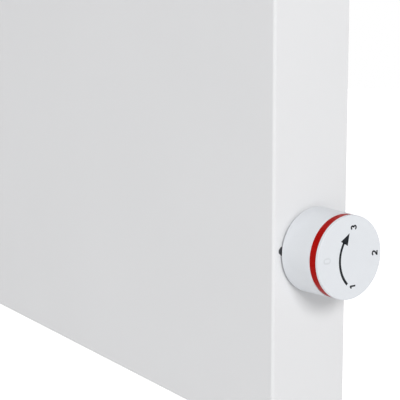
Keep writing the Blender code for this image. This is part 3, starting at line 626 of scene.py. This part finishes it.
def make_wall_rail(look):
    """A folded channel with two hooks that reach through the rear panel, and slots for wall screws."""
    low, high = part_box("wall_rail")
    half = RAIL_SHEET / 2
    reach = PANEL_BACK + OVERLAP
    top, bottom = RAIL_HEIGHT / 2, -RAIL_HEIGHT / 2
    path = [(reach, top - half), (-half, top - half), (-half, bottom + half), (reach, bottom + half)]
    shape = prism(bmesh.new(), folded(path, RAIL_SHEET), low.x, high.x, "X")
    hooks, slots = bmesh.new(), bmesh.new()
    tip_back = low.y + RAIL_SHEET
    for side in (-1, 1):
        start, end = side * HOOK_X - HOOK_WIDTH / 2, side * HOOK_X + HOOK_WIDTH / 2
        outline = [(reach + HOOK_ROOT, top - RAIL_SHEET), (reach + HOOK_ROOT, top), (tip_back, top)]
        outline += [(tip_back, high.z), (low.y, high.z), (low.y, top - RAIL_SHEET)]
        prism(hooks, outline, start, end, "X")
        for place in WALL_SLOT_PLACES:
            prism(slots, slot_outline(*WALL_SLOT, (side * place, 0.0)), -PAST, PAST, "Y")
    shape = joined(joined(shape, hooks, "UNION"), slots)
    piece("rail_sheet", shape, look, "heater", ["wall_rail"], edge=EDGE)


def make_spacer(node, look):
    """A rubber foot with two grooves round it, and a plug with a tapered end."""
    low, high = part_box(node)
    tip, root, plug = 0.0100, 0.0120, 0.0030
    chamfer, taper = 0.0010, 0.0020
    groove, slope = 0.0008, 0.0004
    base = -PANEL_BACK - OVERLAP
    deep = high.y - low.y
    profile = [(0, 0), (tip - chamfer, 0), (tip, 0.0012)]
    for start in (0.0060, 0.0115):
        radius = tip + (root - tip) * start / base
        end = start + 0.0020
        profile += [(radius, start), (radius - groove, start + slope)]
        profile += [(radius - groove, end - slope), (radius, end)]
    profile += [(root, base - taper), (root, base), (plug, base), (plug, deep - taper)]
    profile += [(plug - chamfer, deep), (0, deep)]
    shape = turned(bmesh.new(), rounded(profile, 0.0004, 3), FITTING_SIDES)
    middle = (low + high) / 2
    place = Matrix.Translation((middle.x, high.y, middle.z)) @ TO_MINUS_Y
    piece(node + "_foot", shape, look, "heater", [node], place)


def make_grommet(look):
    """A rubber ring with rolled lips, seated in the rear panel's hole."""
    low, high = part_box("cable_grommet")
    lip, half = (high.x - low.x) / 2, (high.y - low.y) / 2
    bore, neck, waist, slope = 0.0038, 0.0060, 0.0008, 0.0006
    profile = [(bore, -half), (lip - slope, -half), (lip, -waist), (neck, -waist), (neck, waist)]
    profile += [(lip, waist), (lip - slope, half), (bore, half)]
    shape = turned(bmesh.new(), rounded(profile, 0.0007, 5), FITTING_SIDES)
    middle = (low + high) / 2
    place = Matrix.Translation(middle) @ TO_PLUS_Y
    piece("inlet_grommet", shape, look, "heater", ["cable_grommet"], place)


def make_index_mark(look):
    """A small triangle printed on the end face, its blunt point towards the front."""

    # a runs back from the casing's front and b up from its bottom
    def place(a, b, height):
        return (CASE_HIGH.x + height, CASE_LOW.y + a, CASE_LOW.z + b)

    point, foot, middle = 0.0040, 0.0064, 0.1115
    blunt, spread = 0.0008, 0.0033
    outline = [(point, middle - blunt), (point, middle + blunt)]
    outline += [(foot, middle + spread), (foot, middle - spread)]
    mark = patch(bmesh.new(), rounded(outline, 0.0005), place, -PRINT_ROOT, PRINT_RISE)
    piece("index_mark", mark, look, "heater")


def make_screw(node, look):
    """A pan-head screw with a cross recess."""
    low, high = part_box(node)
    radius = (high.x - low.x) / 2
    length = high.y - low.y
    head, rim, round_off = 0.0018, 0.0005, 0.0013
    stem, point, taper = 0.0015, 0.0008, 0.0012
    recess, recess_floor, first_turn = Vector((0.0019, 0.00038)), 0.0007, 20
    shank = length - head
    profile = [(0, -shank), (point, -shank), (stem, -shank + taper), (stem, 0.0), (radius, 0.0)]
    profile += arc((radius - round_off, rim), round_off, 0, 78, 6) + [(0, head)]
    shape = turned(bmesh.new(), profile, 40)
    for turn in (first_turn, first_turn + 90):
        blade = box(bmesh.new(), (*-recess, recess_floor), (*recess, head + 0.001))
        blade.transform(Matrix.Rotation(math.radians(turn), 4, "Z"))
        shape = joined(shape, blade)
    middle = (low + high) / 2
    place = Matrix.Translation((middle.x, low.y + shank, middle.z)) @ TO_PLUS_Y
    piece(node + "_head", shape, look, "heater", [node], place)


# Dial


def dial_radius(height):
    """The dial's outside radius: a straight draft from its base to its face."""
    share = (height - DIAL_BASE) / (DIAL_TOP - DIAL_BASE)
    return BASE_RADIUS + (FACE_RADIUS - BASE_RADIUS) * share


def dial_piece(name, profile, look, node, fillet=0.00015):
    """A turned piece of the dial, its profile in (radius, distance out from the end face)."""
    place = Matrix.Translation(DIAL_AXIS) @ TO_PLUS_X
    shape = turned(bmesh.new(), rounded(profile, fillet), DIAL_SIDES)
    return piece(name, shape, look, "dial", [node], place)


def make_dial_body(look):
    """A hollow turned body, which stands on a foot set in under its rim and has a seat for the ring."""
    bore, hub, hub_end, ceiling = 0.0033, 0.0065, 0.0065, 0.0180
    inner, foot, rim = BASE_RADIUS - 0.0036, BASE_RADIUS - 0.0026, DIAL_BASE + 0.0011
    chamfer = 0.0003
    ring_side, cap_side = RING_BASE - DIAL_GAP, CAP_BASE - DIAL_GAP
    outline = [(bore, hub_end), (hub, hub_end), (hub, ceiling), (inner - 0.001, ceiling)]
    outline += [(inner, ceiling - 0.0015), (inner, DIAL_BASE), (foot, DIAL_BASE), (foot, rim)]
    outline += [(BASE_RADIUS - chamfer, rim), (BASE_RADIUS, rim + chamfer)]
    outline += [(dial_radius(ring_side), ring_side), (RING_SEAT, ring_side)]
    outline += [(RING_SEAT, cap_side), (bore, cap_side)]
    dial_piece("dial_shell", outline, look, "dial_body")


def make_dial_ring(look):
    """The ring lies a little deeper than the body and the cap on either side of it."""
    bore, end, sunk = RING_SEAT + DIAL_GAP, CAP_BASE - DIAL_GAP, 0.0004
    outline = [(bore, RING_BASE), (dial_radius(RING_BASE) - sunk, RING_BASE)]
    outline += [(dial_radius(CAP_BASE) - sunk, end), (bore, end)]
    dial_piece("dial_band", outline, look, "dial_ring", 0.0001)


def face_place(u, v, height):
    """A point on the dial's face: u towards the wall, v up, height out of the face."""
    return (CASE_HIGH.x + DIAL_TOP - PRINT_RISE + height, DIAL_AXIS.y + u, DIAL_AXIS.z + v)


def make_cap(white, grey):
    """The dial's cap, with the figure 0 sunk into it and a grey floor in its groove as painted shade."""
    top = DIAL_TOP - PRINT_RISE
    edge = 0.00045
    groove_deep, floor_deep, floor_rise = 0.00012, 0.00018, 0.00010
    cap = [(0, CAP_BASE), (dial_radius(CAP_BASE), CAP_BASE)]
    cap += arc((FACE_RADIUS - edge, top - edge), edge, 0, 90, 6) + [(0, top)]
    shape = turned(bmesh.new(), cap, DIAL_SIDES)
    place = Matrix.Translation(DIAL_AXIS) @ TO_PLUS_X
    shape.transform(place)
    zero = digit_strokes("0", (-0.0167, 0.0002), ZERO_HEIGHT)[0]
    groove = ribbon(bmesh.new(), zero, DIGIT_STROKE, face_place, -groove_deep, PAST, closed=True)
    shape = joined(shape, groove)
    piece("dial_face", shape, white, "dial", ["dial_cap"])
    # Painted shade: the grey floor laid in the groove of the 0 stands for the shade inside the recess; the
    # groove itself is real
    width = DIGIT_STROKE * 0.9
    floor = ribbon(bmesh.new(), zero, width, face_place, -floor_deep, -floor_rise, closed=True)
    piece("dial_zero", floor, grey, "dial")


# Figures are strokes in a box 1 high: a runs right and b runs up


def digit_paths(digit):
    """The strokes of 0, 1, 2 or 3."""
    if digit == "0":
        side = arc((0.0, 0.20), 0.28, 0, 180, 10)
        return [side + arc((0.0, -0.20), 0.28, 180, 360, 10)]
    if digit == "1":
        return [[(0.08, -0.5), (0.08, 0.5)], [(-0.24, 0.24), (-0.10, 0.30), (0.02, 0.40), (0.08, 0.5)]]
    if digit == "2":
        bow = arc((0.0, 0.20), 0.26, 165, -25, 10)
        return [[*bow, (0.10, -0.12), (-0.16, -0.30), (-0.27, -0.45)], [(-0.34, -0.44), (0.32, -0.44)]]
    upper = arc((-0.01, 0.225), 0.215, 160, -90, 12)
    lower = arc((-0.01, -0.215), 0.235, 90, -165, 12)
    return [upper, lower]


def digit_strokes(digit, centre, height=DIGIT_HEIGHT):
    """The figure's strokes on the dial's face, where its top points to the front."""
    strokes = []
    for path in digit_paths(digit):
        strokes.append([(centre[0] - b * height, centre[1] + a * height) for a, b in path])
    return strokes


def make_face_print(look):
    """The figures 1, 2 and 3, and an arrow that sweeps from 1 to 3. Places are (u, v) on the face."""
    figures = {"3": (0.0022, 0.0165), "2": (0.0185, 0.0005), "1": (0.0022, -0.0163)}
    for digit, centre in figures.items():
        for number, stroke in enumerate(digit_strokes(digit, centre)):
            part = ribbon(bmesh.new(), stroke, DIGIT_STROKE, face_place, -PRINT_ROOT, PRINT_RISE)
            piece("figure_%s_%d" % (digit, number), part, look, "dial")
    sweep = arc((0.01126, -0.0011), 0.01876, 225.6, 147.5, 40)
    tail = ribbon(bmesh.new(), sweep, ARROW_STROKE, face_place, -PRINT_ROOT, PRINT_RISE)
    piece("arrow_sweep", tail, look, "dial")
    head = [(-0.0008, 0.0136), (-0.0070, 0.0096), (-0.0050, 0.0086), (-0.0020, 0.0068)]
    tip = patch(bmesh.new(), head, face_place, -PRINT_ROOT, PRINT_RISE)
    piece("arrow_head", tip, look, "dial")


# The pieces inside keep their CAD shapes


def carried_looks():
    """A material for each slot of the record."""
    zinc = galvanised()
    return {
        "galvanised_steel": zinc,
        "plated_steel": plated(),
        "aluminium": extruded_aluminium(),
        "brass": brass(),
        "ceramic": steatite(),
        "white_plastic": moulded_white(),
        "red_plastic": moulded_red(),
        "white_enamel": powder_coat(),
        "nylon": moulded("nylon", (0.75, 0.73, 0.66), 0.42, 0.58),
        "phenolic": moulded("phenolic", (0.020, 0.018, 0.016), 0.38, 0.52),
        "rubber": rubbery("rubber", (0.030, 0.030, 0.032)),
        "brown_insulation": insulation("brown_insulation", (0.14, 0.045, 0.015)),
        "black_insulation": insulation("black_insulation", (0.015, 0.015, 0.016)),
        "blue_insulation": insulation("blue_insulation", (0.02, 0.09, 0.38)),
        "green_insulation": insulation("green_insulation", (0.08, 0.28, 0.03), (0.62, 0.48, 0.03)),
    }


def dress_nodes(looks):
    for part in frame["record"]["subparts"]:
        node = frame["nodes"][part["node"]]
        for slot in node.material_slots:
            slot.material = looks[part["material_slot"]]


# Studio

CAMERA_FROM_CORNER = Vector((0.3995, -0.3284, 0.2199))
CAMERA_HEADING = 34.99
CAMERA_DIP = 8.708
CAMERA_ROLL = -0.317
LENS = 86.2
FLOOR_BELOW = 0.12
FLOOR_HALF_SIZE = 6.0
WORLD_LIGHT = 0.43
FLOOR_TONE = 0.90
FLOOR_GLOW = 0.04
FLOOR_SEEN_GLOW = 0.80
KEY_TOWARDS = Vector((1.0, -0.33, 0.48))
KEY_DISTANCE = 4.5
KEY_SIZE = 1.4
KEY_WATTS = 97.0
FILL_TOWARDS = Vector((-0.35, -1.0, 0.10))
FILL_DISTANCE = 3.0
FILL_SIZE = 2.2
FILL_WATTS = 20.7


def make_camera():
    """Looks along the front from beyond the dial end, a little from above."""
    heading, dip, roll = (math.radians(angle) for angle in (CAMERA_HEADING, CAMERA_DIP, CAMERA_ROLL))
    level_reach = math.cos(dip)
    forward = Vector((-math.cos(heading) * level_reach, math.sin(heading) * level_reach, -math.sin(dip)))
    level = Vector((math.sin(heading), math.cos(heading), 0))
    upright = level.cross(forward)
    right = level * math.cos(roll) + upright * math.sin(roll)
    up = upright * math.cos(roll) - level * math.sin(roll)
    data = bpy.data.cameras.new("camera")
    data.lens = LENS
    data.clip_start = 0.01
    made = bpy.data.objects.new("camera", data)
    bpy.context.scene.collection.objects.link(made)
    corner = Vector((CASE_HIGH.x, CASE_LOW.y, CASE_LOW.z))
    turn = Matrix((right, up, -forward)).transposed().to_4x4()
    made.matrix_world = Matrix.Translation(corner + CAMERA_FROM_CORNER) @ turn
    bpy.context.scene.camera = made


def make_soft_light(name, target, towards, distance, size, watts):
    data = bpy.data.lights.new(name, "AREA")
    data.shape = "DISK"
    data.size = size
    data.energy = watts
    made = bpy.data.objects.new(name, data)
    bpy.context.scene.collection.objects.link(made)
    made.location = target + towards.normalized() * distance
    made.rotation_euler = towards.to_track_quat("Z", "Y").to_euler()


def make_floor():
    """A pale floor whose glow is stronger to the camera than to the heater above it."""
    look = Look("floor", (FLOOR_TONE,) * 3, 0.9)
    look.shader.inputs["Specular IOR Level"].default_value = 0.1
    look.tint(look.noise(3, 2), (FLOOR_TONE * 1.03,) * 3)
    look.shader.inputs["Emission Color"].default_value = (1, 1, 1, 1)
    glow = look.node("ShaderNodeMapRange", To_Min=FLOOR_GLOW, To_Max=FLOOR_SEEN_GLOW)
    look.link(look.tree.nodes.new("ShaderNodeLightPath").outputs["Is Camera Ray"], glow.inputs["Value"])
    look.link(glow.outputs["Result"], look.shader.inputs["Emission Strength"])
    z = CASE_LOW.z - FLOOR_BELOW
    half = FLOOR_HALF_SIZE
    shape = box(bmesh.new(), (-half, -half, z - 0.02), (half, half, z))
    floor = holder("floor", shape)
    floor.data.materials.append(look.made)


def make_world():
    """White behind everything, and a little dimmer as a source of light."""
    world = bpy.data.worlds.new("studio")
    world.use_nodes = True
    bpy.context.scene.world = world
    nodes, links = world.node_tree.nodes, world.node_tree.links
    background = nodes["Background"]
    background.inputs["Color"].default_value = (1, 1, 1, 1)
    background.inputs["Strength"].default_value = WORLD_LIGHT
    backdrop = nodes.new("ShaderNodeBackground")
    backdrop.inputs["Color"].default_value = (1, 1, 1, 1)
    seen = nodes.new("ShaderNodeLightPath").outputs["Is Camera Ray"]
    either = nodes.new("ShaderNodeMixShader")
    links.new(seen, either.inputs["Fac"])
    links.new(background.outputs["Background"], either.inputs[1])
    links.new(backdrop.outputs["Background"], either.inputs[2])
    links.new(either.outputs["Shader"], nodes["World Output"].inputs["Surface"])


def make_studio():
    bpy.context.scene.view_settings.view_transform = "Standard"
    make_world()
    make_floor()
    make_soft_light("key", DIAL_AXIS, KEY_TOWARDS, KEY_DISTANCE, KEY_SIZE, KEY_WATTS)
    make_soft_light("fill", DIAL_AXIS, FILL_TOWARDS, FILL_DISTANCE, FILL_SIZE, FILL_WATTS)
    make_camera()


def build():
    looks = carried_looks()
    dress_nodes(looks)
    ink = print_ink("print_ink", (0.012, 0.014, 0.018))
    make_casing(looks["white_enamel"])
    make_index_mark(print_ink("index_ink", (0.065, 0.067, 0.072)))
    make_rear_panel(looks["galvanised_steel"])
    make_wall_rail(looks["galvanised_steel"])
    for node in CASING_SCREWS:
        make_screw(node, looks["plated_steel"])
    for node in ("wall_spacer_left", "wall_spacer_right"):
        make_spacer(node, looks["rubber"])
    make_grommet(looks["rubber"])
    make_dial_body(looks["white_plastic"])
    make_dial_ring(looks["red_plastic"])
    make_cap(looks["white_plastic"], recess_shade_grey())
    make_face_print(ink)
    make_studio()


build()
